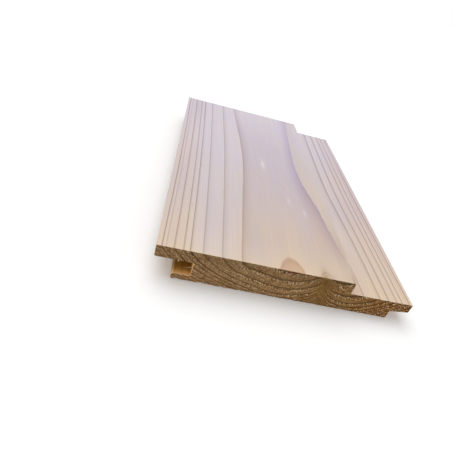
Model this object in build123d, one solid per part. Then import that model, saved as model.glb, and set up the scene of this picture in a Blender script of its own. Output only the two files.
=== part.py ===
from build123d import *

import os

# Tongue and groove pine cladding board, a short length of moulded stock.
# The board lies on its back. X runs across the width, from the lip to the tongue, Y runs along the grain
# and Z is up, through the thickness. The origin is at the middle of the back, on the surface it lies on.

# Driving dimensions, in millimetres

LENGTH = 215.0  # sawn end to sawn end
OVERALL_WIDTH = 136.5  # edge of the lip to the tip of the tongue
THICKNESS = 19.0  # planed face to planed back
FACE_WIDTH = 101.0  # edge of the lip to the step down to the lap
LAP_DEPTH = 7.0  # height of that step, which the lip of the next board fills
LIP_REACH = 9.7  # how far the lip stands out past the mouth of the groove
TONGUE_LENGTH = 10.2  # shoulder to tip
TONGUE_ROOT = 6.8  # thickness at the shoulder
TONGUE_TIP = 5.5  # thickness at the tip, tapered on the underside
TONGUE_CLEARANCE = 1.5  # room under the tongue's root in the groove of the next board
BACK_GAP = 0.7  # opening left at the back of a joint when the tongue meets the groove's end
LEAD_IN = 1.0  # bevel at the mouth of the groove, on the lower lip
ARRIS_RADIUS = 0.5  # easing of the long outer edges

# Places on the section, worked out from the sizes above

LIP_EDGE = -OVERALL_WIDTH / 2
TIP = OVERALL_WIDTH / 2
STEP = LIP_EDGE + FACE_WIDTH
SHOULDER = TIP - TONGUE_LENGTH
MOUTH = LIP_EDGE + LIP_REACH
GROOVE_END = MOUTH + TONGUE_LENGTH - BACK_GAP
FACE = THICKNESS
LAP = FACE - LAP_DEPTH
GROOVE_FLOOR = LAP - TONGUE_ROOT - TONGUE_CLEARANCE
ROOT_UNDERSIDE = LAP - TONGUE_ROOT
TIP_UNDERSIDE = LAP - TONGUE_TIP


def corners(section: BuildSketch, places: list[tuple[float, float]]) -> ShapeList:
    """The corners of a section that lie at the given places."""
    return ShapeList(section.vertices().sort_by_distance((x, z, 0))[0] for x, z in places)


def board_section() -> Sketch:
    """The moulded section: lip and groove on the left, lap and tongue on the right."""
    lip_corners = [(LIP_EDGE, FACE), (LIP_EDGE, LAP)]
    face_corner = [(STEP, FACE)]
    tongue_corners = [(TIP, LAP), (TIP, TIP_UNDERSIDE)]
    back_corners = [(SHOULDER, 0), (MOUTH, 0)]
    groove_mouth = [(MOUTH, GROOVE_FLOOR)]
    with BuildSketch(Plane.XZ) as section:
        with BuildLine():
            Polyline(
                *face_corner,
                (STEP, LAP),
                *tongue_corners,
                (SHOULDER, ROOT_UNDERSIDE),
                *back_corners,
                *groove_mouth,
                (GROOVE_END, GROOVE_FLOOR),
                (GROOVE_END, LAP),
                *reversed(lip_corners),
                close=True,
            )
        make_face()
        chamfer(corners(section, groove_mouth), LEAD_IN)
        fillet(corners(section, lip_corners + face_corner + tongue_corners + back_corners), ARRIS_RADIUS)
    return section.sketch


def pine_board() -> Part:
    """The section carried along the grain, cut square at both ends."""
    return extrude(board_section(), LENGTH / 2, both=True)


os.makedirs("parts", exist_ok=True)
export_step(pine_board(), "parts/pine_board.step")
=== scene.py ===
import logging
from dataclasses import dataclass
from enum import IntEnum
from functools import partial

import bpy
import numpy as np
from mathutils import Euler, Matrix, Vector
from mathutils.geometry import delaunay_2d_cdt


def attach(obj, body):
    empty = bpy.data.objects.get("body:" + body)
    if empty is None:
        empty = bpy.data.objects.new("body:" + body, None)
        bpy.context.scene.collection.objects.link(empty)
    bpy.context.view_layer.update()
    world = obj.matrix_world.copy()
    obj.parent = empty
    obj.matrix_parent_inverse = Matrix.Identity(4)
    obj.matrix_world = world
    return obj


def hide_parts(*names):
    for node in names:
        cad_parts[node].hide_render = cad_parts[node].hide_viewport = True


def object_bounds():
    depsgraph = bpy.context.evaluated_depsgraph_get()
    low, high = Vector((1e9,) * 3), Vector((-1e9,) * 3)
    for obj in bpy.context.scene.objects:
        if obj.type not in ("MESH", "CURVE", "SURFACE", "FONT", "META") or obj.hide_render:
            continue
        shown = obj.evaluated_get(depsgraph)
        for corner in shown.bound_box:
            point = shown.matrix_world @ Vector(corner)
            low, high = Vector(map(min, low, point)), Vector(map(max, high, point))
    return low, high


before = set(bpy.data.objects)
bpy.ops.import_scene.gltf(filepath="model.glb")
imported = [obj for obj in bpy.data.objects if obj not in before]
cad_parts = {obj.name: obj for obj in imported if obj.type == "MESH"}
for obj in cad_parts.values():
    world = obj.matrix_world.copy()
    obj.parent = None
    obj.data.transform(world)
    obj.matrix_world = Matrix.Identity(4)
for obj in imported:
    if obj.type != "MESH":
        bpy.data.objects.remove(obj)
CAD_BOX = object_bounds()

# A tongue and groove pine cladding board, lying on its back. X runs across the width from the lip to the
# tongue, Y runs along the grain with the sawn end that the camera sees at -Y, and Z is up. Sizes are in
# millimetres until a mesh, a lamp or the camera is made, which is in metres.

Array = np.ndarray
Pair = tuple[float, float]
Triple = tuple[float, float, float]
Series = tuple[float, ...]
Names = tuple[str, ...]
Colour = tuple[float, float, float, float]
Stop = tuple[float, Colour]
Tree = bpy.types.NodeTree
Socket = bpy.types.NodeSocket
Node = bpy.types.Node
Material = bpy.types.Material
Object = bpy.types.Object

LOG = logging.getLogger("pine_board")
MM = 0.001

# The overall sizes are those of the CAD solid, to the nearest micrometre.
WIDTH, LENGTH, THICKNESS = (round((high - low) / MM, 3) for low, high in zip(*CAD_BOX))
NEAR_END = -LENGTH / 2

# Numbers of a Mix node's sockets for colours, and of a Map Range node's inputs for vectors.
MIX_SHARE = 0
MIX_UNDER = 6
MIX_OVER = 7
MIX_RESULT = 2
VECTOR_RANGE = range(6, 11)

# The kind of triangulation that keeps only what lies inside the outline.
INSIDE_ONLY = 1


def linear(hex_colour: str) -> Colour:
    """Turns an sRGB hex colour into the linear colour that a shader socket takes.

    The curve of sRGB is a straight line near black and a power above that.

    Args:
        hex_colour: Six hex digits, red, green and blue.

    Returns:
        Linear red, green and blue, with an alpha of 1.
    """
    coded = np.frombuffer(bytes.fromhex(hex_colour), np.uint8) / 255
    red, green, blue = np.where(coded <= 0.04045, coded / 12.92, ((coded + 0.055) / 1.055) ** 2.4)
    return float(red), float(green), float(blue), 1.0


def grey(value: float) -> Colour:
    """A grey of that linear value."""
    return value, value, value, 1.0


def set_inputs(tree: Tree, node: Node, inputs: dict | tuple) -> None:
    """Sets a node's inputs to values, or links them to the sockets that feed them.

    Args:
        tree: The node tree that holds the node.
        node: The node.
        inputs: Values or sockets, in the order of the inputs or by their names or numbers.
    """
    pairs = inputs.items() if isinstance(inputs, dict) else enumerate(inputs)
    for key, value in pairs:
        if isinstance(value, Socket):
            tree.links.new(value, node.inputs[key])
        else:
            node.inputs[key].default_value = value


def add_node(
    tree: Tree,
    kind: str,
    inputs: dict | tuple = (),
    stops: list[Stop] | None = None,
    out: str | int = 0,
    **settings: object,
) -> Socket:
    """Adds a shader node, with its properties, its inputs set or linked, and the stops of its ramp.

    Args:
        tree: The node tree that takes the node.
        kind: Blender's name for the type of node, without the first part that all shader nodes share.
        inputs: Values or sockets, in the order of the inputs or by their names or numbers.
        stops: Place and colour of each stop, for a colour ramp.
        out: Name or number of the wanted output.
        **settings: The node's own properties.

    Returns:
        The wanted output.
    """
    node = tree.nodes.new("ShaderNode" + kind)
    for name, value in settings.items():
        setattr(node, name, value)
    set_inputs(tree, node, inputs)
    if stops:
        ramp = node.color_ramp
        while len(ramp.elements) < len(stops):
            ramp.elements.new(1.0)
        for element, (place, colour) in zip(ramp.elements, stops):
            element.position = place
            element.color = colour
    return node.outputs[out]


def new_material(name: str) -> tuple[Material, Tree, Node]:
    """Makes a material with nodes.

    Args:
        name: Its name.

    Returns:
        The material, its node tree and the main shader in it.
    """
    material = bpy.data.materials.new(name)
    material.use_nodes = True
    return material, material.node_tree, material.node_tree.nodes["Principled BSDF"]


def add_object(name: str, data: bpy.types.ID) -> Object:
    """Adds an object to the scene.

    Args:
        name: Its name.
        data: Its mesh, lamp or camera.

    Returns:
        The object, at the origin.
    """
    added = bpy.data.objects.new(name, data)
    bpy.context.scene.collection.objects.link(added)
    return added


def add_mesh(name: str, points: Array, faces: list, materials: list[Material]) -> Object:
    """Adds an object with its own mesh to the scene.

    Args:
        name: Name of the object and of its mesh.
        points: Rows of x, y and z, in millimetres.
        faces: Numbers of the points at the corners of each face.
        materials: Its materials, in order.

    Returns:
        The object, at the origin.
    """
    data = bpy.data.meshes.new(name)
    data.from_pydata((points * MM).tolist(), [], faces)
    for material in materials:
        data.materials.append(material)
    return add_object(name, data)


def bell(value: Array, centre: float, spread: float) -> Array:
    """A bell curve: 1 at the centre, falling to 1/e at the spread."""
    return np.exp(-(((value - centre) / spread) ** 2))


def unit(rows: Array) -> Array:
    """Rows made one long."""
    return rows / np.linalg.norm(rows, axis=-1, keepdims=True)


def fall(distance: Array, reach: float) -> Array:
    """Falls evenly from 1 at no distance to 0 at the reach, and stays there."""
    return np.clip(1.0 - distance / reach, 0.0, 1.0)


class Cut(IntEnum):
    """How a face of the board was made, which is also its material's place on the mesh."""

    PLANED = 0
    SAWN = 1


@dataclass(frozen=True)
class Ease:
    """A range over which something comes in, by a cubic ease from none at its start to all at its end."""

    start: float
    end: float
    full: float = 1.0

    def over(self, value: Array) -> Array:
        """How much has come in at each value. The start may be larger than the end."""
        share = np.clip((value - self.start) / (self.end - self.start), 0.0, 1.0)
        return self.full * share * share * (3.0 - 2.0 * share)


@dataclass(frozen=True)
class Bulge:
    """A bell across the width."""

    height: float
    x: float
    spread: float

    def over(self, x: Array) -> Array:
        """The bell's height at each place."""
        return self.height * bell(x, self.x, self.spread)


@dataclass(frozen=True)
class Patch:
    """A soft spot on the board: a bell across the width times a bell along the grain."""

    x: float
    y: float
    across: float
    along: float
    strength: float

    def over(self, x: Array, y: Array) -> Array:
        """The spot's strength at each point."""
        return self.strength * bell(x, self.x, self.across) * bell(y, self.y, self.along)


@dataclass(frozen=True)
class Ripple:
    """An uneven surface over a plane: a sum of plane waves with seeded directions, lengths and phases."""

    seed: int
    waves: int
    shortest: float
    longest: float

    def over(self, across: Array, up: Array) -> Array:
        """The surface's height at each point.

        Args:
            across: First coordinate of each point.
            up: Second coordinate of each point.

        Returns:
            Heights that mostly lie between -1 and 1.
        """
        rng = np.random.default_rng(self.seed)
        lengths = np.exp(rng.uniform(np.log(self.shortest), np.log(self.longest), self.waves))
        turns = rng.uniform(0.0, 2.0 * np.pi, self.waves)
        phases = rng.uniform(0.0, 2.0 * np.pi, self.waves)
        ways = np.stack([np.cos(turns), np.sin(turns)]) * (2.0 * np.pi / lengths)
        return np.sin(np.stack([across, up], axis=-1) @ ways + phases).sum(axis=-1) / np.sqrt(self.waves)


@dataclass(frozen=True)
class Lumps:
    """A smooth uneven pattern with the real size of its lumps along three axes, in millimetres."""

    size: Triple
    detail: float = 2.0
    roughness: float = 0.5

    def noise(self, tree: Tree, place: Socket, millimetre: float) -> Socket:
        """Adds the pattern to a material.

        Args:
            tree: The material's nodes.
            place: The coordinates that the pattern follows.
            millimetre: Length of one millimetre in those coordinates.

        Returns:
            Noise about a half.
        """
        scale = tuple(1.0 / (length * millimetre) for length in self.size)
        scaled = add_node(tree, "Mapping", {"Vector": place, "Scale": scale})
        inputs = {"Vector": scaled, "Scale": 1.0, "Detail": self.detail, "Roughness": self.roughness}
        return add_node(tree, "TexNoise", inputs, out="Fac")


@dataclass(frozen=True)
class StemRings:
    """How the tree grew: its year rings as surfaces through the board, in millimetres.

    A ring is where the distance from the pith has one value. Points are first raised or sunk by how the stem
    bends, flutes, swells, hollows and dimples there, and the distance is then measured to a pith above the
    face, across circles that are flattened in height. Most years differ in width and in the darkness of their
    late wood on the two sides of the pith.
    """

    pith_x: float = 3.75
    pith_z: float = 27.3
    flatness: float = 0.442
    waist_y: float = 10.0
    bend_power: float = 1.5
    bow: Bulge = Bulge(1.2, pith_x, 40.0)
    lift: Bulge = Bulge(3.28, -26.0, 8.9)
    lift_height: Ease = Ease(6.0, THICKNESS)
    flute: Bulge = Bulge(4.0, 17.3, 16.9)
    swell: Bulge = Bulge(4.02, 36.5, 21.7)
    swell_length: Ease = Ease(123.5, -6.1)
    hollow: Patch = Patch(23.9, -75.1, 12.1, 23.9, 0.79)
    pinch_depth: float = 7.4
    pinch_x: float = 17.5
    pinch_z: float = 12.0
    pinch_lean: float = 0.1
    pinch_left: float = 4.4
    pinch_right: float = 2.9
    pinch_blunt: float = 0.7
    pinch_length: float = 5.2
    dimple: Bulge = Bulge(1.6, -0.22, 14.5)
    dimple_length: float = 16.0
    dimple_power: float = 1.5
    dimple_least: float = 0.6
    dimple_height: Ease = Ease(12.0, THICKNESS, 1.0 - dimple_least)
    taper: float = 0.01
    taper_y: float = -27.0
    outer_years: Series = (1.8, 1.1, 1.1, 1.3, 1.1, 1.3, 1.2)
    left_years: Series = (2.87, 5.15, 6.13, 5.04, 4.21, 2.62, 1.27, 1.97, 1.64, 0.72) + outer_years
    right_years: Series = (2.9, 5.23, 5.61, 6.1, 3.74, 2.17, 2.24, 1.26, 1.2, 0.52) + outer_years
    outer_lates: Series = (0.7, 0.9, 0.6, 0.9, 0.8, 0.9, 0.8)
    left_lates: Series = (0.3, 0.3, 0.65, 0.62, 0.68, 1.12, 0.76, 0.84, 0.4, 1.5) + outer_lates
    right_lates: Series = (0.3, 0.3, 0.75, 0.8, 1.0, 1.05, 0.86, 1.08, 0.4, 1.4) + outer_lates
    late_width: float = 0.45
    latest_share: float = 0.8
    seam_core: Bulge = Bulge(0.85, -0.7, 1.6)
    seam_glow: Bulge = Bulge(0.35, 0.6, 4.0)
    seam_height: Ease = Ease(2.0, 11.0)
    seam_length: float = 4.6

    def seam_side(self, x: Array, z: Array) -> Array:
        """How far to the right of the pinch's leaning seam a point is."""
        return x - self.pinch_x - self.pinch_lean * (self.pinch_z - z)

    def bend(self, y: Array, waist: float) -> Array:
        """How far a bend has come: a power of the distance from its waist, in half lengths of the board."""
        return np.abs((y - waist) / (LENGTH / 2)) ** self.bend_power

    def raised(self, x: Array, y: Array, z: Array) -> Array:
        """Height of each point after the stem's own shape is taken out of it.

        The bow and the lift on its left grow with the bend from the waist, the flute and the swelling are
        bells across the width, and the pinch and the dimple die away along the grain from the near end.

        Args:
            x: Places across the width.
            y: Places along the grain.
            z: Heights.

        Returns:
            Heights as they were in a straight round stem.
        """
        near = y - NEAR_END
        bow = self.bend(y, self.waist_y) * (self.bow.over(x) + self.lift.over(x) * self.lift_height.over(z))
        swell = self.swell.over(x) * self.swell_length.over(near)
        side = self.seam_side(x, z)
        reach = np.where(side < 0.0, self.pinch_left, self.pinch_right)
        blunted = np.hypot(side, self.pinch_blunt) - self.pinch_blunt
        pinch = self.pinch_depth * np.exp(-blunted / reach - near / self.pinch_length)
        dimple = self.dimple.over(x) * fall(near, self.dimple_length) ** self.dimple_power
        dimple = dimple * (self.dimple_least + self.dimple_height.over(z))
        return z + bow + swell + dimple - self.flute.over(x) - pinch - self.hollow.over(x, y)

    def stem_place(self, points: Array) -> Array:
        """Where points were in the stem: length of arc round it, distance from the pith, and place along it.

        Args:
            points: Rows of x, y and z.

        Returns:
            Rows of arc, distance and y.
        """
        x, y, z = points.T
        across = self.flatness * (x - self.pith_x)
        below = self.pith_z - self.raised(x, y, z)
        distance = np.hypot(across, below) * (1.0 - self.taper * self.bend(y, self.taper_y))
        arc = np.arctan2(across, below) * distance / self.flatness
        return np.stack([arc, distance, y], axis=1)

    def mixed(self, stem: Array, left: Array, right: Array) -> Array:
        """Mixes left and right values by the sine of the angle round the pith, which is 0 straight below."""
        share = 0.5 + 0.5 * np.sin(stem[:, 0] * self.flatness / stem[:, 1])
        return left + (right - left) * share

    def age(self, stem: Array) -> Array:
        """Years of growth at each place in the stem, whole where one year's late wood ends.

        The distance is looked up in the sums of the years' widths, on the left and on the right of the pith.

        Args:
            stem: Rows of arc, distance and y.

        Returns:
            Ages in years.
        """
        years = np.arange(len(self.left_years))
        sides = (np.cumsum(self.left_years), np.cumsum(self.right_years))
        return self.mixed(stem, *(np.interp(stem[:, 1], side, years) for side in sides))

    def yearly(self, stem: Array, age: Array, left: Series, right: Series) -> Array:
        """A value that is set for each year on the left and right of the pith, on a line between years."""
        years = np.arange(len(left))
        return self.mixed(stem, np.interp(age, years, left), np.interp(age, years, right))

    def late_strength(self, stem: Array, age: Array) -> Array:
        """How dark the late wood is."""
        return self.yearly(stem, age, self.left_lates, self.right_lates)

    def line_start(self, stem: Array, age: Array) -> Array:
        """Part of the year at which its thin late line starts, so that every year's line is as wide."""
        widths = self.yearly(stem, age, self.left_years, self.right_years)
        return 1.0 - np.clip(self.late_width / widths, 0.0, self.latest_share)

    def seam(self, points: Array) -> Array:
        """Darkness of the pinched seam: a smear that dies away below the face and along the grain.

        Args:
            points: Rows of x, y and z.

        Returns:
            Shares from 0 to 1: a narrow bell and a wide one across the seam, added.
        """
        x, y, z = points.T
        side = self.seam_side(x, z)
        fading = self.seam_height.over(z) * np.exp(-(y - NEAR_END) / self.seam_length)
        return ((self.seam_core.over(side) + self.seam_glow.over(side)) * fading).clip(0.0, 1.0)


@dataclass(frozen=True)
class Places:
    """Points of the board: places in millimetres, ages in years, and 1 in the groove or else 0."""

    x: Array
    y: Array
    z: Array
    age: Array
    in_groove: Array

    @property
    def near(self) -> Array:
        """Distance from the near end."""
        return self.y - NEAR_END

    def spots(self, patches: tuple[Patch, ...]) -> Array:
        """The strength of all the soft spots together at each point."""
        return sum(patch.over(self.x, self.y) for patch in patches)


@dataclass(frozen=True)
class FaceTints:
    """How colour drifts over the board, from the way it grew and was cut and from painted light, in
    millimetres, years and shares.

    The near end is warm and the far end bluer, which is partly a painted sheen of the sky; the flanks are
    rosy, and soft spots differ a little in lightness. A painted highlight runs along the near rim, a few
    painted glints lie on the face, and the groove has painted light at its mouth and painted shade inside.
    """

    warm_power: float = 1.8
    cool_spots: tuple[Patch, ...] = (
        Patch(-40.0, 0.0, 14.0, 1000.0, 0.38),
        Patch(-18.0, -92.0, 6.0, 20.0, 0.2),
    )
    warm_spots: tuple[Patch, ...] = (Patch(28.0, -15.0, 9.0, 55.0, 0.22),)
    # A painted highlight along the near end's rim: warmer and lighter within about a millimetre of it.
    rim_highlight_warmth: float = 0.2
    rim_painted_highlight: float = 0.05
    rim_reach: float = 1.2
    left_edge: Ease = Ease(-50.0, -60.0)
    right_edge: Ease = Ease(40.0, 62.0)
    left_rosiness: float = 0.45
    right_rosiness: float = 0.8
    rosy_length: Ease = Ease(-110.0, -10.0)
    rosy_far: Ease = Ease(20.0, 100.0, 0.6)
    edge_warmth: Ease = Ease(-100.0, -30.0, 0.08)
    inner_far: Ease = Ease(110.0, 30.0)
    inner_near: Ease = Ease(-116.0, -80.0)
    inner_weaker: Ease = Ease(0.0, -40.0, 0.2)
    blush_left: Ease = Ease(2.0, 12.0, 1.15)
    blush_right: Ease = Ease(34.0, 28.0)
    blush_length: Ease = Ease(-125.0, -35.0)
    blush_far: Ease = Ease(-50.0, 40.0, 0.35)
    # Painted glints: pale spots where the planed face catches the light.
    painted_glints: tuple[Patch, ...] = (
        Patch(-7.2, 4.0, 1.3, 7.0, 0.6),
        Patch(6.0, -40.0, 0.8, 4.0, 0.4),
        Patch(15.0, -51.0, 1.0, 4.0, 0.4),
    )
    tones: tuple[Patch, ...] = (
        Patch(31.5, -80.0, 6.0, 22.0, -0.1),
        Patch(18.0, -86.0, 8.0, 26.0, -0.03),
        Patch(-42.0, -108.0, 15.0, 24.0, 0.05),
        Patch(-58.0, 90.0, 5.0, 28.0, -0.12),
        Patch(-58.0, -98.0, 5.0, 25.0, -0.035),
        Patch(-49.0, -80.0, 3.0, 30.0, 0.03),
        Patch(64.0, -100.0, 5.0, 20.0, 0.05),
        Patch(15.0, 45.0, 4.0, 40.0, 0.04),
        Patch(60.0, -25.0, 8.0, 30.0, 0.04),
        Patch(38.5, -52.0, 3.0, 12.0, 0.08),
        Patch(-18.0, -90.0, 5.0, 20.0, -0.045),
    )
    outside_x: Ease = Ease(8.0, 14.0)
    outside_age: float = 2.0
    outside_years: float = 0.25
    outside_loss: float = 0.06
    outside_warmth: Ease = Ease(-50.0, 10.0, 0.2)
    fade_least: float = 0.5
    fade_age: Ease = Ease(3.6, 2.2, 0.45)
    fade_left: Ease = Ease(8.0, -8.0)
    soft_left: Ease = Ease(6.0, 12.0)
    soft_right: Ease = Ease(42.0, 36.0)
    soft_near: Ease = Ease(1.0, 9.0)
    soft_age: float = 3.5
    soft_loss: float = 0.68
    soft_inner_age: float = 2.5
    soft_inner_loss: float = 0.22
    band_gain: float = 1.12
    band_seam: Bulge = Bulge(0.4, 17.0, 10.0)
    band_inner: Ease = Ease(3.3, 2.3, 0.1)
    band_lip: Ease = Ease(-50.0, -60.0, 0.45)
    band_height: Ease = Ease(10.0, 16.0)
    tuft_left: Ease = Ease(-36.0, -24.0)
    tuft_stop: Ease = Ease(14.0, 9.0)
    tuft_right: Ease = Ease(22.0, 27.0)
    tuft_tongue: Ease = Ease(38.0, 54.0, 0.3)
    # The groove's painted light and shade: painted light at its mouth that fades over a few millimetres,
    # painted shade deeper in, and less of its darker colour at the lit mouth.
    groove_fade: float = 3.2
    groove_lit_mouth: float = 0.3
    groove_mouth_painted_light: float = 0.85
    groove_plain: float = 0.7
    groove_painted_shade: Ease = Ease(3.0, 8.0, 0.2)

    def outside(self, at: Places) -> Array:
        """How near points are to the outside of the second ring on the right: a half bell over the age."""
        shell = bell(at.age, self.outside_age, self.outside_years) * (at.age > self.outside_age)
        return shell * self.outside_x.over(at.x)

    def rim(self, at: Places) -> Array:
        """How near points are to the near end's rim, where a painted highlight lies."""
        return np.exp(-at.near / self.rim_reach)

    def warmth_and_sheen(self, at: Places) -> Array:
        """Share of the warm colour: a power of the way from the far end, whose bluer far part is partly a
        painted sky sheen, with cooler and warmer spots and a painted warm highlight at the rim.

        Args:
            at: Points of the board.

        Returns:
            Shares from 0 to 1.
        """
        share = fall(at.near, LENGTH) ** self.warm_power * (1.0 - at.spots(self.cool_spots))
        share = share + at.spots(self.warm_spots) + self.edge_warmth.over(at.y) * self.right_edge.over(at.x)
        share = share + self.outside_warmth.over(at.y) * self.outside(at)
        return (share + self.rim_highlight_warmth * self.rim(at)).clip(0.0, 1.0)

    def rosy(self, at: Places) -> Array:
        """Share of the rosy stain: both flanks, fading to the near end, the right one to the far end too."""
        right = self.right_rosiness * self.right_edge.over(at.x) * (1.0 - self.rosy_far.over(at.y))
        return (self.left_rosiness * self.left_edge.over(at.x) + right) * self.rosy_length.over(at.y)

    def inner(self, at: Places) -> Array:
        """Share of the innermost years' greyish stain: none at either end, and weaker to the near one."""
        return self.inner_far.over(at.y) * self.inner_near.over(at.y) * (1.0 - self.inner_weaker.over(at.y))

    def blush(self, at: Places) -> Array:
        """Share of the violet that gathers inside the first ring on the right, most towards the near end."""
        along = self.blush_length.over(at.y) * (1.0 - self.blush_far.over(at.y))
        return self.blush_left.over(at.x) * self.blush_right.over(at.x) * along

    def tone(self, at: Places) -> Array:
        """Factor on the colour: soft spots, a painted highlight at the rim, and a groove with painted light
        at its mouth and painted shade inside.

        Args:
            at: Points of the board.

        Returns:
            Factors about 1.
        """
        # Painted light at the groove's mouth and painted shade deeper inside.
        mouth = self.groove_mouth_painted_light * bell(at.near, 0.0, self.groove_fade) - self.groove_painted_shade.over(at.near)
        lighter = at.spots(self.tones) + self.rim_painted_highlight * self.rim(at) + at.in_groove * mouth
        return 1.0 + lighter - self.outside_loss * self.outside(at)

    def fade(self, at: Places) -> Array:
        """Strength of the slow darkening before a late line, which is most in the inner years on the left."""
        return self.fade_least + self.fade_age.over(at.age) * self.fade_left.over(at.x)

    def line_share(self, at: Places) -> Array:
        """Darkness that a late line keeps on the long faces: less at two on the right and in the groove.

        Args:
            at: Points of the board.

        Returns:
            Shares from 0 to 1.
        """
        soft = self.soft_left.over(at.x) * self.soft_right.over(at.x) * self.soft_near.over(at.near)
        loss = self.soft_loss * (at.age < self.soft_age)
        loss = loss + self.soft_inner_loss * (at.age < self.soft_inner_age)
        return (1.0 - soft * loss) * (1.0 - self.groove_plain * at.in_groove)

    def band_share(self, at: Places) -> Array:
        """Factor on a sawn end's late bands: darker beside the seam and inside, weaker at the lip's top."""
        lip = self.band_lip.over(at.x) * self.band_height.over(at.z)
        return (self.band_gain + self.band_seam.over(at.x) + self.band_inner.over(at.age)) * (1.0 - lip)

    def tufts(self, at: Places) -> Array:
        """Factor on the torn tufts of a sawn end: none at the lip and at the seam, and most at the tongue."""
        middle = self.tuft_left.over(at.x) * self.tuft_stop.over(at.x)
        return middle + self.tuft_right.over(at.x) + self.tuft_tongue.over(at.x)

    def milled_and_painted_shade(self, at: Places) -> Array:
        """Share of the groove's darker colour, partly its rougher cut surface and partly painted shade, which
        is less at the lit mouth.
        """
        return at.in_groove * (1.0 - self.groove_lit_mouth * bell(at.near, 0.0, self.groove_fade))


@dataclass(frozen=True)
class PlanedPine:
    """Softwood planed along the grain and left bare.

    The eye sees broad pale early wood that darkens slowly to a thin late line and stops short there, fine
    streaks of fibre, a few resin canals as short brown dashes, and a dull sheen. Fibres and canals are drawn
    coarser than the real tenth of a millimetre, so that they show.
    """

    # The far end's bluish colour: partly the wood's own, partly a painted sheen of the sky.
    cool_tint_and_sheen: str = "d1c7d1"
    middling: str = "cec0bd"
    warm: str = "dbc4ab"
    late: str = "c9bcb2"
    inner: str = "f4f1f6"
    rosy: str = "fdf5f3"
    blush: str = "ded6ec"
    halo: str = "fdfef7"
    heart: str = "f2e1da"
    seam: str = "c6ba98"
    # The groove's darker colour: partly its rougher cut surface, partly painted shade.
    milled_and_painted_shade: str = "d4b04e"
    canal: str = "e6d9ce"
    # Colour of the painted glints, mixed over the wood.
    painted_glint: str = "e6e0e6"
    cloud_low: str = "fbfbff"
    cloud_high: str = "fffef9"
    cloud: Lumps = Lumps((12.0, 45.0, 12.0))
    streak: Lumps = Lumps((0.7, 60.0, 0.7), 4.0, 0.6)
    canals: Lumps = Lumps((0.5, 7.0, 0.5), 1.0)
    cloud_range: Pair = (0.35, 0.65)
    canal_range: Pair = (0.72, 0.8)
    streak_range: Pair = (0.3, 0.7)
    streak_shade: Pair = (0.96, 1.03)
    wander: float = 0.035
    line_end: float = 0.985
    fade_start: float = 0.55
    fade_power: float = 2.0
    inner_age: float = 2.0
    heart_age: Pair = (1.03, 0.97)
    halo_age: Pair = (1.05, 0.99)
    rough_range: Pair = (0.63, 0.49)
    fibre_depth: float = 0.03
    fibre_strength: float = 0.35
    ring_attributes: Names = ("ring_age", "line_start", "line_strength", "fade", "seam")
    tint_attributes: Names = ("warmth_and_sheen", "inner", "rosy", "blush", "painted_glint", "tone", "milled_and_painted_shade")

    def late_wood(self, tree: Tree, age: Socket, wood: dict[str, Socket]) -> tuple[Socket, Socket]:
        """A year's darkening: a slow fade over its last part, and a thin line at its end.

        Args:
            tree: The material's nodes.
            age: Years of growth.
            wood: The board's attributes: where the line starts in a year, and the strength of the fade.

        Returns:
            The fade alone, and the fade with the line.
        """
        add = partial(add_node, tree)
        part = add("Math", (age,), operation="FRACT")
        line = add("MapRange", (part, wood["line_start"], self.line_end), interpolation_type="SMOOTHSTEP")
        rise = add("MapRange", (part, self.fade_start))
        fade = add("Math", (rise, self.fade_power), operation="POWER")
        return fade, add("Math", (fade, wood["fade"], line), operation="MULTIPLY_ADD", use_clamp=True)

    def material(self) -> Material:
        """The wood's node tree: a colour by warm share with its painted sky sheen, then stains that multiply
        it, one of them partly painted shade in the groove, painted glints and fine shade.

        Returns:
            A material that reads the board's attributes for the rings and Object coordinates for the fibre.
        """
        material, tree, shader = new_material("planed_pine")
        add = partial(add_node, tree)
        place = add("TexCoord", out="Object")
        names = self.ring_attributes + self.tint_attributes
        wood = {name: add("Attribute", out="Fac", attribute_name=name) for name in names}
        streak, cloud, canal = (one.noise(tree, place, MM) for one in (self.streak, self.cloud, self.canals))

        drift = add("MapRange", (streak, 0.0, 1.0, -self.wander / 2, self.wander / 2))
        age = add("Math", (wood["ring_age"], drift), operation="ADD")
        fade, late = self.late_wood(tree, age, wood)
        inside = add("Math", (age, self.inner_age), operation="LESS_THAN")
        products = {
            "inner": (inside, wood["inner"]),
            "blush": (fade, wood["blush"]),
            "late": (late, wood["line_strength"]),
        }
        ranges = {
            "halo": (age, *self.halo_age),
            "heart": (age, *self.heart_age),
            "canal": (canal, *self.canal_range),
        }
        shares = {name: add("Math", both, operation="MULTIPLY") for name, both in products.items()}
        shares |= {name: add("MapRange", ends) for name, ends in ranges.items()}

        warmths = list(zip((0.0, 0.5, 1.0), map(linear, (self.cool_tint_and_sheen, self.middling, self.warm))))
        colour = add("ValToRGB", (wood["warmth_and_sheen"],), warmths)
        stains = (
            (shares["inner"], self.inner),
            (wood["rosy"], self.rosy),
            (shares["blush"], self.blush),
            (shares["late"], self.late),
            (shares["halo"], self.halo),
            (shares["heart"], self.heart),
            (wood["seam"], self.seam),
            (shares["canal"], self.canal),
            (wood["milled_and_painted_shade"], self.milled_and_painted_shade),
        )
        for share, stain in stains:
            inputs = {MIX_SHARE: share, MIX_UNDER: colour, MIX_OVER: linear(stain)}
            colour = add("Mix", inputs, out=MIX_RESULT, data_type="RGBA", blend_type="MULTIPLY")
        # Painted glints, mixed over the colour.
        inputs = {MIX_SHARE: wood["painted_glint"], MIX_UNDER: colour, MIX_OVER: linear(self.painted_glint)}
        colour = add("Mix", inputs, out=MIX_RESULT, data_type="RGBA")
        cloud_ends = list(zip(self.cloud_range, map(linear, (self.cloud_low, self.cloud_high))))
        clouds = add("ValToRGB", (cloud,), cloud_ends)
        shade = add("MapRange", (streak, *self.streak_range, *self.streak_shade))
        for factor in (shade, wood["tone"], clouds):
            colour = add("VectorMath", (colour, factor), operation="MULTIPLY")

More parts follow.
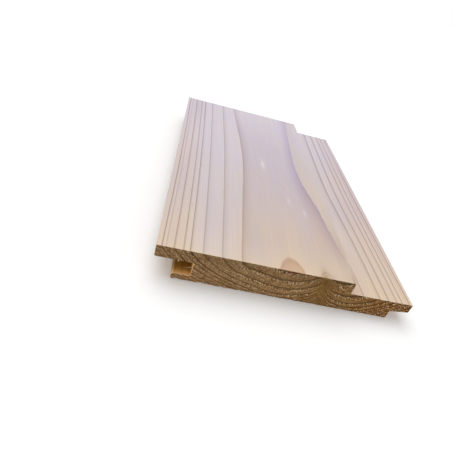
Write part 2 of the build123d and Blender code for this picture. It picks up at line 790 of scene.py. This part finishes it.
        rough = add("MapRange", (streak, 0.0, 1.0, *self.rough_range))
        depth = self.fibre_depth * MM
        bump = add("Bump", {"Height": streak, "Strength": self.fibre_strength, "Distance": depth})
        set_inputs(tree, shader, {"Base Color": colour, "Roughness": rough, "Normal": bump})
        return material


@dataclass(frozen=True)
class SawnEndGrain:
    """The same pine sawn across the grain.

    Cut ends of the fibres drink the light, so the eye sees a far darker olive brown, with dense late bands
    and, just outside each, rows of bright torn tufts with dark pits beside them. Fine strands follow the
    rings. Tufts, pits and pores are drawn coarser than the real fibres, so that they show.
    """

    early: tuple[tuple[float, str], ...] = (
        (-66.0, "977651"),
        (-34.0, "95754e"),
        (0.0, "8f6d45"),
        (18.0, "8a683c"),
        (34.0, "886437"),
        (52.0, "875a28"),
    )
    late: tuple[tuple[float, str], ...] = (
        (-66.0, "523a22"),
        (0.0, "563e22"),
        (30.0, "4e3618"),
        (52.0, "40250b"),
    )
    heart: str = "6c4328"
    seam: str = "80602f"
    pit: str = "3a2613"
    tuft_dull: str = "cda877"
    tuft_bright: str = "ffe4b8"
    band_sooner: float = 0.17
    band_end: float = 0.97
    heart_age: Pair = (1.14, 0.98)
    heart_bare: float = 0.6
    tuft_size: Pair = (0.88, 0.64)
    tuft_edge: Pair = (0.44, 0.26)
    tuft_kinds: Triple = (0.45, 0.53, 0.63)
    tuft_rows: tuple[Pair, ...] = ((0.0, 0.95), (0.22, 0.82), (0.40, 0.3), (0.70, 0.1), (0.85, 0.0))
    patch: Lumps = Lumps((7.0, 7.0, 7.0))
    patch_range: Pair = (0.35, 0.6)
    patch_least: float = 0.5
    pore: Lumps = Lumps((0.36, 0.36, 0.36))
    strand: Lumps = Lumps((4.0, 0.2, 60.0), 1.0)
    pore_range: Pair = (0.36, 0.64)
    strand_range: Pair = (0.3, 0.7)
    pore_shade: Pair = (0.56, 1.42)
    strand_shade: Pair = (0.58, 1.38)
    shade_powers: Triple = (1.0, 1.35, 2.2)
    wander: float = 0.08
    # Painted light over the sawn end's height: painted shade by the face, painted light towards the back.
    face_painted_shade: float = 0.85
    back_painted_light: float = 1.36
    roughness: float = 0.9
    specular: float = 0.2
    pore_depth: float = 0.12
    pore_strength: float = 0.6
    attributes: Names = ("ring_age", "line_start", "band_strength", "seam", "tufts")

    def across(self, stops: tuple[tuple[float, str], ...]) -> list[Stop]:
        """Stops of a ramp over the board's width, from places in millimetres and hex colours."""
        return [(0.5 + x / WIDTH, linear(colour)) for x, colour in stops]

    def coloured(self, shade: Pair) -> list[Series]:
        """A shade's two ends on red, green and blue: each to its power, so lit fibres pale, its mean kept."""
        levels = np.power.outer(np.array(shade), np.array(self.shade_powers))
        return [tuple(row) for row in levels * np.mean(shade) / levels.mean(axis=0)]

    def tufts(self, tree: Tree, stem: Socket, part: Socket) -> tuple[Socket, Socket]:
        """Spots scattered in rows just outside each ring, one to a cell, and each either a tuft or a pit.

        Args:
            tree: The material's nodes.
            stem: Arc round the stem and distance from the pith.
            part: Part of the year.

        Returns:
            The share of the spots, and their colour.
        """
        add = partial(add_node, tree)
        scale = (1.0 / self.tuft_size[0], 1.0 / self.tuft_size[1], 1.0)
        scaled = add("Mapping", {"Vector": stem, "Scale": scale})
        cells = add("TexVoronoi", {"Vector": scaled, "Scale": 1.0}, voronoi_dimensions="2D").node
        spot = add("MapRange", (cells.outputs["Distance"], *self.tuft_edge))
        rows = add("ValToRGB", (part,), [(place, grey(share)) for place, share in self.tuft_rows])
        kinds = list(zip(self.tuft_kinds, map(linear, (self.pit, self.tuft_dull, self.tuft_bright))))
        colour = add("ValToRGB", (cells.outputs["Color"],), kinds)
        return add("Math", (spot, rows), operation="MULTIPLY"), colour

    def material(self) -> Material:
        """The end grain's node tree: early and late colours over the width, stains, shade, painted light and
        shade over the height, tufts and pits.

        Returns:
            A material that reads the board's ring attributes, so its bands meet the planed faces' lines.
        """
        material, tree, shader = new_material("sawn_end_grain")
        add = partial(add_node, tree)
        place = add("TexCoord", out="Object")
        stem = add("Attribute", out="Vector", attribute_name="stem_place")
        wood = {name: add("Attribute", out="Fac", attribute_name=name) for name in self.attributes}
        pore = self.pore.noise(tree, place, MM)
        patch = self.patch.noise(tree, place, MM)
        strand = self.strand.noise(tree, stem, 1.0)

        drift = add("MapRange", (pore, 0.0, 1.0, -self.wander / 2, self.wander / 2))
        age = add("Math", (wood["ring_age"], drift), operation="ADD")
        part = add("Math", (age,), operation="FRACT")
        start = add("Math", (wood["line_start"], self.band_sooner), operation="SUBTRACT")
        band = add("MapRange", (part, start, self.band_end), interpolation_type="SMOOTHSTEP")
        band = add("Math", (band, wood["band_strength"]), operation="MULTIPLY")
        heart = add("MapRange", (age, *self.heart_age))

        axes = add("SeparateXYZ", (place,)).node.outputs
        width = add("MapRange", (axes["X"], -WIDTH / 2 * MM, WIDTH / 2 * MM))
        colour = add("ValToRGB", (width,), self.across(self.early))
        late = add("ValToRGB", (width,), self.across(self.late))
        for share, stain in ((band, late), (heart, linear(self.heart)), (wood["seam"], linear(self.seam))):
            inputs = {MIX_SHARE: share, MIX_UNDER: colour, MIX_OVER: stain}
            colour = add("Mix", inputs, out=MIX_RESULT, data_type="RGBA")
        shades = (
            (pore, self.pore_range, self.coloured(self.pore_shade)),
            (strand, self.strand_range, self.coloured(self.strand_shade)),
            # Painted shade by the face and painted light towards the back.
            (axes["Z"], (0.0, THICKNESS * MM), ((self.back_painted_light,) * 3, (self.face_painted_shade,) * 3)),
        )
        for value, (low, high), (first, last) in shades:
            inputs = dict(zip(VECTOR_RANGE, (value, (low,) * 3, (high,) * 3, first, last)))
            factor = add("MapRange", inputs, out="Vector", data_type="FLOAT_VECTOR")
            colour = add("VectorMath", (colour, factor), operation="MULTIPLY")

        share, tuft = self.tufts(tree, stem, part)
        patches = add("MapRange", (patch, *self.patch_range, self.patch_least))
        bare = add("MapRange", (heart, 0.0, 1.0, 1.0, self.heart_bare))
        for factor in (patches, wood["tufts"], bare):
            share = add("Math", (share, factor), operation="MULTIPLY")
        inputs = {MIX_SHARE: share, MIX_UNDER: colour, MIX_OVER: tuft}
        tufted = add("Mix", inputs, out=MIX_RESULT, data_type="RGBA")
        depth = self.pore_depth * MM
        bump = add("Bump", {"Height": pore, "Strength": self.pore_strength, "Distance": depth})
        finish = {"Base Color": tufted, "Roughness": self.roughness, "Specular IOR Level": self.specular}
        set_inputs(tree, shader, finish | {"Normal": bump})
        return material


@dataclass(frozen=True)
class PlainFinish:
    """One even colour: torn fibre, which is pale and dull, or the floor's paper, which has no sheen."""

    name: str
    colour: str
    roughness: float
    specular: float = 0.5

    def material(self) -> Material:
        """The finish as a material.

        Returns:
            A material with plain values on its shader.
        """
        material, tree, shader = new_material(self.name)
        sheen = {"Roughness": self.roughness, "Specular IOR Level": self.specular}
        set_inputs(tree, shader, {"Base Color": linear(self.colour)} | sheen)
        return material


@dataclass
class PineBoard:
    """The board: a moulded section carried along the grain and sawn square at both ends, in millimetres."""

    face_width: float = 101.0
    lap_depth: float = 7.0
    lip_reach: float = 9.7
    tongue_length: float = 10.2
    tongue_root: float = 6.8
    tongue_tip: float = 5.5
    tongue_clearance: float = 1.5
    back_gap: float = 0.7
    lead_in: float = 1.0
    arris_radius: float = 0.5
    arc_steps: int = 4
    profile_step: float = 1.0
    stations: int = 150
    end_crowding: float = 0.86
    end_arris: float = 0.15
    end_grid: float = 0.5
    grid_seed: int = 31
    grid_jitter: float = 0.2
    rim_room: float = 0.3
    weld: float = 1e-6
    saw_level: float = 0.05
    saw_swing: float = 0.025
    saw_deepest: float = 0.15
    saw_reach: float = 0.6
    saw_rake: float = 0.35
    saw_drift: float = 0.1
    saw_rows: Ripple = Ripple(seed=11, waves=14, shortest=0.9, longest=2.6)
    saw_lumps: Ripple = Ripple(seed=23, waves=40, shortest=1.1, longest=4.0)
    chips: Ripple = Ripple(seed=5, waves=24, shortest=0.8, longest=5.0)
    chip_depth: float = 0.8
    chip_reach: float = 1.8
    chip_height: float = 0.4
    chip_x: float = -20.0
    chip_least: float = 0.35
    groove_above: float = 0.01
    groove_below: float = 1.7
    groove_inset: float = 0.6
    rings: StemRings = StemRings()
    tints: FaceTints = FaceTints()
    planed: PlanedPine = PlanedPine()
    sawn: SawnEndGrain = SawnEndGrain()

    def __post_init__(self) -> None:
        """Works out the section's places from the sizes."""
        self.lip_edge = -WIDTH / 2
        self.tip = WIDTH / 2
        self.step = self.lip_edge + self.face_width
        self.shoulder = self.tip - self.tongue_length
        self.mouth = self.lip_edge + self.lip_reach
        self.groove_end = self.mouth + self.tongue_length - self.back_gap
        self.lap = THICKNESS - self.lap_depth
        self.groove_floor = self.lap - self.tongue_root - self.tongue_clearance

    def corners(self) -> list[Triple]:
        """The section's corners, with the radius that eases each, anticlockwise as the camera sees them.

        Returns:
            x, z and radius of each corner.
        """
        eased = self.arris_radius
        return [
            (self.step, THICKNESS, eased),
            (self.lip_edge, THICKNESS, eased),
            (self.lip_edge, self.lap, eased),
            (self.groove_end, self.lap, 0.0),
            (self.groove_end, self.groove_floor, 0.0),
            (self.mouth + self.lead_in, self.groove_floor, 0.0),
            (self.mouth, self.groove_floor - self.lead_in, 0.0),
            (self.mouth, 0.0, eased),
            (self.shoulder, 0.0, eased),
            (self.shoulder, self.lap - self.tongue_root, 0.0),
            (self.tip, self.lap - self.tongue_tip, eased),
            (self.tip, self.lap, eased),
            (self.step, self.lap, 0.0),
        ]

    def profile(self) -> Array:
        """The section's outline: an eased corner is an arc that touches both edges, and edges are cut evenly.

        Returns:
            Rows of x and z, anticlockwise, with no point repeated.
        """
        corners = self.corners()
        places = np.array([(x, z) for x, z, _ in corners])
        outline = []
        for index, (_, _, radius) in enumerate(corners):
            here = places[index]
            before = unit(places[index - 1] - here)
            after = unit(places[(index + 1) % len(corners)] - here)
            half = np.arccos(np.clip(before @ after, -1.0, 1.0)) / 2
            share = np.linspace(0.0, 1.0, self.arc_steps + 1)[:, None] if radius else np.zeros((1, 1))
            centre = here + unit(before + after) * radius / np.sin(half)
            first = here + before * radius / np.tan(half) - centre
            last = here + after * radius / np.tan(half) - centre
            swing = first * np.cos(share * np.pi / 2) + last * np.sin(share * np.pi / 2)
            reach = np.linalg.norm(swing, axis=1, keepdims=True)
            outline.append(centre + swing * radius / np.where(reach > 0, reach, 1.0))
        knots = np.concatenate(outline)
        ahead = np.roll(knots, -1, axis=0)
        cuts = np.round(np.linalg.norm(ahead - knots, axis=1) / self.profile_step).clip(1).astype(int)
        runs = [np.linspace(*ends, cut, endpoint=False) for *ends, cut in zip(knots, ahead, cuts)]
        return np.concatenate(runs)

    def outward(self, profile: Array) -> Array:
        """Outward direction at each point of the outline, square to the line through its neighbours."""
        along = np.roll(profile, -1, axis=0) - np.roll(profile, 1, axis=0)
        return unit(np.stack([along[:, 1], -along[:, 0]], axis=1))

    def station_places(self) -> Array:
        """Places along the grain: even steps with a sine taken off, which crowds them at both ends."""
        share = np.linspace(0.0, 1.0, self.stations)
        return LENGTH * (share - self.end_crowding * np.sin(2 * np.pi * share) / (2 * np.pi) - 0.5)

    def saw_marks(self, x: Array, z: Array) -> Array:
        """How far a sawn end is scored below its square plane: uneven ripples on the rake of the saw."""
        height = self.saw_rows.over(self.saw_rake * x + z, self.saw_drift * z) + self.saw_lumps.over(x, z)
        return (self.saw_level + self.saw_swing * height).clip(0.0, self.saw_deepest)

    def walls(self, profile: Array) -> Array:
        """The long faces: the outline at each station, drawn in a little at the ends and chipped at the back.

        Args:
            profile: Rows of x and z.

        Returns:
            Points by station and place on the outline.
        """
        x, z = profile.T
        y = self.station_places()
        from_end = LENGTH / 2 - np.abs(y)
        drawn_in = self.end_arris * fall(from_end, self.end_arris)
        section = profile - drawn_in[:, None, None] * self.outward(profile)
        frayed = self.chip_depth * self.chips.over(x, z).clip(0.0, 1.0) * np.exp(-z / self.chip_height)
        frayed = frayed * np.where(x < self.chip_x, 1.0, self.chip_least)
        section[..., 1] += np.outer(fall(from_end, self.chip_reach) ** 2, frayed)
        inward = np.outer(fall(from_end, self.saw_reach), self.saw_marks(x, z))
        along = y[:, None] - np.sign(y)[:, None] * inward
        return np.stack([section[..., 0], along, section[..., 1]], axis=-1)

    def end_faces(self, rim: Array) -> tuple[Array, Array]:
        """A triangulated end: the rim, with a jittered grid of points inside it that keeps clear of the rim.

        Args:
            rim: Rows of x and z along the edge of the end, anticlockwise.

        Returns:
            Rows of x and z for the points inside, and triangles that count the rim's points first.
        """
        low, high = rim.min(axis=0), rim.max(axis=0)
        rng = np.random.default_rng(self.grid_seed)
        columns = np.arange(low[0], high[0], self.end_grid)
        rows = np.arange(low[1], high[1], self.end_grid)
        grid = np.stack(np.meshgrid(columns, rows), axis=-1).reshape(-1, 2)
        grid = grid + rng.uniform(-self.grid_jitter, self.grid_jitter, grid.shape) * self.end_grid
        ahead = np.roll(rim, -1, axis=0)
        edge = ahead - rim
        rel = grid[:, None, :] - rim[None, :, :]
        share = np.clip((rel * edge).sum(-1) / (edge**2).sum(-1), 0.0, 1.0)
        gap = np.linalg.norm(rel - share[..., None] * edge, axis=-1).min(axis=1)
        spans = (rim[None, :, 1] > grid[:, None, 1]) != (ahead[None, :, 1] > grid[:, None, 1])
        rise = np.where(edge[:, 1] == 0.0, 1.0, edge[:, 1])
        crossing = rim[:, 0] + (grid[:, None, 1] - rim[:, 1]) / rise * edge[:, 0]
        inside = (spans & (grid[:, None, 0] < crossing)).sum(axis=1) % 2 == 1
        inner = grid[inside & (gap > self.rim_room)]
        every = np.concatenate([rim, inner])
        outline = list(range(len(rim)))
        result = delaunay_2d_cdt(every.tolist(), [], [outline], INSIDE_ONLY, self.weld)
        if len(result[0]) != len(every):
            raise ValueError("the end's triangulation added points")
        return inner, np.array(result[2])

    def mesh(self) -> tuple[Array, Array, Array, Array]:
        """The closed board: its long faces as quads, and its two ends as triangles that share their edges.

        Returns:
            Points, the corners of the quads, the corners of the triangles, and each face's cut, quads first.
        """
        profile = self.profile()
        walls = self.walls(profile)
        count = len(profile)
        points = walls.reshape(-1, 3)
        place = np.arange(count)
        ahead = np.roll(place, -1)
        start = (np.arange(self.stations - 1) * count)[:, None]
        corners = [start + place, start + count + place, start + count + ahead, start + ahead]
        quads = np.stack(corners, axis=-1).reshape(-1, 4)
        ends = []
        for station, outward in ((0, -1.0), (self.stations - 1, 1.0)):
            inner, faces = self.end_faces(walls[station][:, [0, 2]])
            x, z = inner.T
            y = outward * (LENGTH / 2 - self.saw_marks(x, z))
            numbers = np.concatenate([station * count + place, len(points) + np.arange(len(inner))])
            ends.append(numbers[faces if outward < 0 else faces[:, ::-1]])
            points = np.concatenate([points, np.stack([x, y, z], axis=1)])
        triangles = np.concatenate(ends)
        cuts = np.concatenate([np.full(len(quads), Cut.PLANED), np.full(len(triangles), Cut.SAWN)])
        return points, quads, triangles, cuts

    def groove(self, x: Array, z: Array) -> Array:
        """Where points are on the walls of the groove or under the lip, as 1 or 0."""
        level = (z < self.lap + self.groove_above) & (z > self.groove_floor - self.groove_below)
        return 1.0 * (level & (x < self.groove_end + self.back_gap) & (x > self.lip_edge + self.groove_inset))

    def wood(self, points: Array) -> dict[str, Array]:
        """What the wood is at each point, for the materials: its rings, and the tints of its faces.

        Args:
            points: Rows of x, y and z.

        Returns:
            Attribute arrays by name.
        """
        x, y, z = points.T
        stem = self.rings.stem_place(points)
        age = self.rings.age(stem)
        late = self.rings.late_strength(stem, age)
        at = Places(x, y, z, age, self.groove(x, z))
        return {
            "stem_place": stem,
            "ring_age": age,
            "line_start": self.rings.line_start(stem, age),
            "line_strength": late * self.tints.line_share(at),
            "band_strength": late * self.tints.band_share(at),
            "fade": self.tints.fade(at),
            "seam": self.rings.seam(points),
            "warmth_and_sheen": self.tints.warmth_and_sheen(at),
            "inner": self.tints.inner(at),
            "rosy": self.tints.rosy(at),
            "blush": self.tints.blush(at),
            "painted_glint": at.spots(self.tints.painted_glints),
            "tone": self.tints.tone(at),
            "tufts": self.tints.tufts(at),
            "milled_and_painted_shade": self.tints.milled_and_painted_shade(at),
        }

    def build(self) -> Object:
        """Makes the board's object, dresses it, and puts it in the frame in place of its solid.

        Returns:
            The board.
        """
        points, quads, triangles, cuts = self.mesh()
        faces = quads.tolist() + triangles.tolist()
        board = add_mesh("pine_board_wood", points, faces, [self.planed.material(), self.sawn.material()])
        data = board.data
        data.polygons.foreach_set("material_index", cuts.astype(np.int32))
        for name, values in self.wood(points).items():
            kind, slot = ("FLOAT_VECTOR", "vector") if values.ndim == 2 else ("FLOAT", "value")
            layer = data.attributes.new(name, kind, "POINT")
            layer.data.foreach_set(slot, values.astype(np.float32).ravel())
        data.validate()
        data.update()
        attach(board, "root")
        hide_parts("pine_board")
        return board


@dataclass(frozen=True)
class Sliver:
    """A torn fibre: its root, its reach from there to the tip, the tip's sag and the root's radius."""

    root: Triple
    reach: Triple
    sag: float
    radius: float


@dataclass
class TornFibres:
    """Slivers that the saw and the cutter left: a whisker in the groove, a chip under the lip and a fringe.

    Each is a cone with a flat oval section, bent down by its own weight. Sizes are in millimetres.
    """

    whisker: Sliver = Sliver((-48.8, NEAR_END + 1.0, 8.7), (-3.9, -0.6, -0.5), sag=0.4, radius=0.26)
    chip: Sliver = Sliver((-56.6, NEAR_END + 0.3, 12.2), (0.25, -0.45, -0.9), sag=0.0, radius=0.45)
    fringe: int = 14
    fringe_start: float = -56.0
    fringe_stop: float = -27.0
    fringe_height: float = 0.45
    fringe_inside: float = 0.25
    fringe_reach: Pair = (0.2, 0.55)
    fringe_lean: float = 1.3
    fringe_rise: Pair = (-0.12, 0.1)
    fringe_sag: float = 0.05
    fringe_radius: Pair = (0.14, 0.24)
    seed: int = 47
    rings: int = 7
    sides: int = 8
    flatness: float = 0.55
    thinning: float = 0.7
    finish: PlainFinish = PlainFinish("torn_pine_fibre", "d9bf94", roughness=0.8)

    def roots(self) -> tuple[Array, Array, Array, Array]:
        """Where the slivers start and how they run: the whisker, the chip under the lip, then the fringe.

        Returns:
            Roots, reaches, sags and root radii, one row for each sliver.
        """
        rng = np.random.default_rng(self.seed)
        count = self.fringe
        x = np.sort(rng.uniform(self.fringe_start, self.fringe_stop, count))
        away = rng.uniform(*self.fringe_reach, count)
        lean = rng.uniform(-self.fringe_lean, self.fringe_lean, count)
        rise = rng.uniform(*self.fringe_rise, count)
        radii = rng.uniform(*self.fringe_radius, count)
        y = np.full(count, NEAR_END + self.fringe_inside)
        starts = np.stack([x, y, np.full(count, self.fringe_height)], axis=1)
        runs = np.stack([lean, -self.fringe_inside - away, rise], axis=1)
        single = (self.whisker, self.chip)
        roots = np.concatenate([[one.root for one in single], starts])
        reach = np.concatenate([[one.reach for one in single], runs])
        sag = np.concatenate([[one.sag for one in single], np.full(count, self.fringe_sag)])
        return roots, reach, sag, np.concatenate([[one.radius for one in single], radii])

    def mesh(self) -> tuple[Array, list[list[int]]]:
        """The slivers as closed cones: rings round a bent line, a tip point, and a flat root inside the wood.

        Returns:
            Points, and the corners of each face.
        """
        roots, reach, sag, radius = self.roots()
        share = np.arange(self.rings) / self.rings
        turn = 2 * np.pi * np.arange(self.sides) / self.sides
        along = unit(reach)
        side = unit(np.cross(along, [0.0, 0.0, 1.0]))
        up = np.cross(side, along)
        line = roots[:, None, :] + reach[:, None, :] * share[None, :, None]
        line[..., 2] -= sag[:, None] * share**2
        width = radius[:, None] * (1.0 - share) ** self.thinning
        oval = side[:, None, :] * np.cos(turn)[None, :, None]
        oval = oval + self.flatness * up[:, None, :] * np.sin(turn)[None, :, None]
        shells = line[:, :, None, :] + width[:, :, None, None] * oval[:, None, :, :]
        tips = roots + reach
        tips[:, 2] -= sag
        each = self.rings * self.sides + 1
        points = np.concatenate([shells.reshape(len(roots), -1, 3), tips[:, None, :]], axis=1)
        here = np.arange(self.sides)
        ahead = np.roll(here, -1)
        start = (np.arange(self.rings - 1) * self.sides)[:, None]
        above = start + self.sides
        bands = np.stack([start + here, start + ahead, above + ahead, above + here], axis=-1)
        last = (self.rings - 1) * self.sides
        tip_faces = np.stack([last + here, last + ahead, np.full(self.sides, each - 1)], axis=-1)
        faces = bands.reshape(-1, 4).tolist() + tip_faces.tolist() + [here[::-1].tolist()]
        firsts = range(0, len(roots) * each, each)
        return points.reshape(-1, 3), [[first + n for n in face] for first in firsts for face in faces]

    def build(self) -> Object:
        """Makes the slivers' object, with its own pale material.

        Returns:
            The slivers.
        """
        fibres = add_mesh("torn_fibres", *self.mesh(), [self.finish.material()])
        fibres.data.shade_smooth()
        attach(fibres, "root")
        return fibres


@dataclass
class Studio:
    """A pale floor, soft light from above, and the camera where the photograph was taken from."""

    camera_place: Triple = (-66.497, -250.788, 135.781)
    camera_turn: Triple = (54.573, -14.739, -0.325)
    lens: float = 31.458
    sensor: float = 36.0
    nearest: float = 10.0
    farthest: float = 50000.0
    floor_side: float = 12000.0
    floor_drop: float = 0.1
    floor_lift: float = 0.06
    paper: PlainFinish = PlainFinish("matt_white_paper", "ffffff", roughness=1.0, specular=0.0)
    sky_level: float = 0.55
    sun_level: float = 1.55
    sun_spread: float = 60.0
    sun_tilt: Triple = (-24.0, -12.0, 0.0)

    def place_camera(self) -> None:
        """Adds the camera and makes it the scene's own."""
        data = bpy.data.cameras.new("camera")
        data.sensor_width = self.sensor
        data.lens = self.lens
        data.clip_start = self.nearest * MM
        data.clip_end = self.farthest * MM
        camera = add_object("camera", data)
        place = [MM * value for value in self.camera_place]
        camera.matrix_world = Matrix.LocRotScale(place, Euler(np.radians(self.camera_turn)), None)
        bpy.context.scene.camera = camera

    def looked_at(self, tree: Tree, unseen: float, seen: float) -> Socket:
        """A level that differs for what the camera sees, also by reflection, and for plain light.

        Args:
            tree: The nodes that take it.
            unseen: Level for plain light.
            seen: Level for camera, glossy and transmission rays.

        Returns:
            The level.
        """
        add = partial(add_node, tree)
        rays = add("LightPath").node.outputs
        looked = rays["Is Camera Ray"]
        for other in ("Is Glossy Ray", "Is Transmission Ray"):
            looked = add("Math", (looked, rays[other]), operation="MAXIMUM")
        return add("MapRange", (looked, 0.0, 1.0, unseen, seen))

    def lay_floor(self) -> None:
        """Adds the floor, a flat square just under the board, a little lit where the camera sees it."""
        half = self.floor_side / 2
        square = np.array([(-half, -half), (half, -half), (half, half), (-half, half)])
        points = np.column_stack([square, np.full(len(square), -self.floor_drop)])
        material = self.paper.material()
        tree = material.node_tree
        glow = self.looked_at(tree, 0.0, self.floor_lift)
        lit = {"Emission Color": linear(self.paper.colour), "Emission Strength": glow}
        set_inputs(tree, tree.nodes["Principled BSDF"], lit)
        add_mesh("floor", points, [(0, 1, 2, 3)], [material])

    def light(self) -> None:
        """Adds a wide soft sun and an even sky, which is plain white where the camera sees it."""
        lamp = bpy.data.lights.new("soft_sun", "SUN")
        lamp.energy = self.sun_level
        lamp.angle = np.radians(self.sun_spread)
        add_object("soft_sun", lamp).rotation_euler = np.radians(self.sun_tilt)
        world = bpy.data.worlds.new("white_sky")
        world.use_nodes = True
        tree = world.node_tree
        level = self.looked_at(tree, self.sky_level, 1.0)
        set_inputs(tree, tree.nodes["Background"], {"Color": grey(1.0), "Strength": level})
        bpy.context.scene.world = world

    def build(self) -> None:
        """Sets up the floor, the light and the camera."""
        bpy.context.scene.view_settings.view_transform = "Standard"
        self.lay_floor()
        self.light()
        self.place_camera()


def report(piece: Object) -> None:
    """Logs a piece's name and how much mesh it has."""
    LOG.info("%s: %d points, %d faces", piece.name, len(piece.data.vertices), len(piece.data.polygons))


def main() -> None:
    logging.basicConfig(level=logging.INFO, format="%(message)s")
    report(PineBoard().build())
    report(TornFibres().build())
    Studio().build()


if __name__ == "__main__":
    main()
